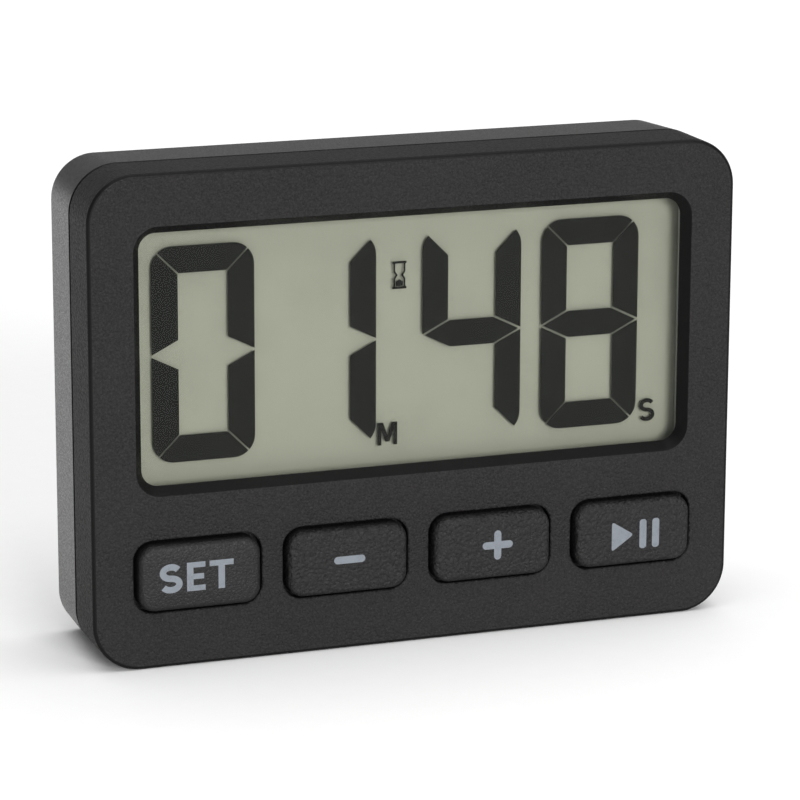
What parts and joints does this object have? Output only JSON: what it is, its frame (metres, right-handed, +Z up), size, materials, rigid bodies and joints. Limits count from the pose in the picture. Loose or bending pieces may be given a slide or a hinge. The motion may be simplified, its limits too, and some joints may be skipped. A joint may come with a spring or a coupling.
{
  "type": "digital kitchen timer",
  "caption": "Compact digital kitchen timer: rounded dark case, wide recessed segment display, a row of push buttons, fold-out stand, rear magnets and battery door.",
  "frame": {"origin": "middle of the base, on the surface the timer stands on, midway between the caps' faces and the rear face", "axes": "+X to the right as the display is read, +Y towards the back, +Z up; the display faces -Y"},
  "size_m": [0.075, 0.018, 0.055],
  "materials": {
    "front_plastic": "dark grey, fine spark-eroded grain",
    "cap_plastic": "dark grey, fine grain, printed symbols",
    "rear_plastic": "dark grey, plain satin",
    "clear_window": "clear polished sheet",
    "polariser": "neutral film",
    "lcd_glass": "clear glass",
    "lcd_ink": "black",
    "lcd_reflector": "grey-green reflector",
    "frame_plastic": "white moulded",
    "zebra_rubber": "striped silicone",
    "board_laminate": "green solder mask",
    "chip_resin": "black resin",
    "can_metal": "bright can",
    "chip_ceramic": "fired ceramic",
    "keypad_rubber": "grey silicone",
    "carbon": "carbon",
    "buzzer_brass": "bright sheet",
    "buzzer_white": "silvered ceramic",
    "lead_red": "insulated lead",
    "lead_black": "insulated lead",
    "battery_sleeve": "printed sleeve over steel",
    "contact_steel": "nickel-plated spring steel",
    "magnet_nickel": "nickel plated",
    "screw_steel": "plated steel"
  },
  "bodies": {
    "case": {"front_shell": "front_plastic", "rear_shell": "rear_plastic", "display_window": "clear_window", "front_polariser": "polariser", "front_glass": "lcd_glass", "rear_glass": "lcd_glass", "lcd_segments": "lcd_ink", "reflector": "lcd_reflector", "lcd_frame": "frame_plastic", "zebra_strip": "zebra_rubber", "circuit_board": "board_laminate", "timer_chip": "chip_resin", "quartz_crystal": "can_metal", "chip_parts": "chip_ceramic", "keypad_mat": "keypad_rubber", "dome_set": "keypad_rubber", "dome_minus": "keypad_rubber", "dome_plus": "keypad_rubber", "dome_start": "keypad_rubber", "buzzer_plate": "buzzer_brass", "buzzer_ceramic": "buzzer_white", "buzzer_leads": "lead_red", "positive_lead": "lead_red", "negative_lead": "lead_black", "battery": "battery_sleeve", "positive_contact": "contact_steel", "negative_contact": "contact_steel", "magnets": "magnet_nickel", "case_screws": "screw_steel", "board_screws": "screw_steel"},
    "battery_door": {"battery_door": "rear_plastic", "door_latch": "rear_plastic"},
    "stand": {"stand": "rear_plastic"},
    "button_set": {"button_set": "cap_plastic", "pill_set": "carbon"},
    "button_minus": {"button_minus": "cap_plastic", "pill_minus": "carbon"},
    "button_plus": {"button_plus": "cap_plastic", "pill_plus": "carbon"},
    "button_start": {"button_start": "cap_plastic", "pill_start": "carbon"}
  },
  "joints": [
    {"name": "press_set", "type": "slide", "parent": "case", "child": "button_set", "axis": [0, 1, 0], "range_m": [0, 0.0008], "stiffness_N_per_m": 600, "springref_m": -0.0008, "deforming": ["dome_set"]},
    {"name": "press_minus", "type": "slide", "parent": "case", "child": "button_minus", "axis": [0, 1, 0], "range_m": [0, 0.0008], "stiffness_N_per_m": 600, "springref_m": -0.0008, "deforming": ["dome_minus"]},
    {"name": "press_plus", "type": "slide", "parent": "case", "child": "button_plus", "axis": [0, 1, 0], "range_m": [0, 0.0008], "stiffness_N_per_m": 600, "springref_m": -0.0008, "deforming": ["dome_plus"]},
    {"name": "press_start", "type": "slide", "parent": "case", "child": "button_start", "axis": [0, 1, 0], "range_m": [0, 0.0008], "stiffness_N_per_m": 600, "springref_m": -0.0008, "deforming": ["dome_start"]},
    {"name": "door_tilt", "type": "hinge", "parent": "case", "child": "battery_door", "pos_m": [0, 0.00903, 0.0283], "axis": [-1, 0, 0], "range_deg": [0, 90], "deforming": ["door_latch"]},
    {"name": "stand_hinge", "type": "hinge", "parent": "case", "child": "stand", "pos_m": [0, 0.00783, 0.0257], "axis": [1, 0, 0], "range_deg": [0, 40]}
  ]
}
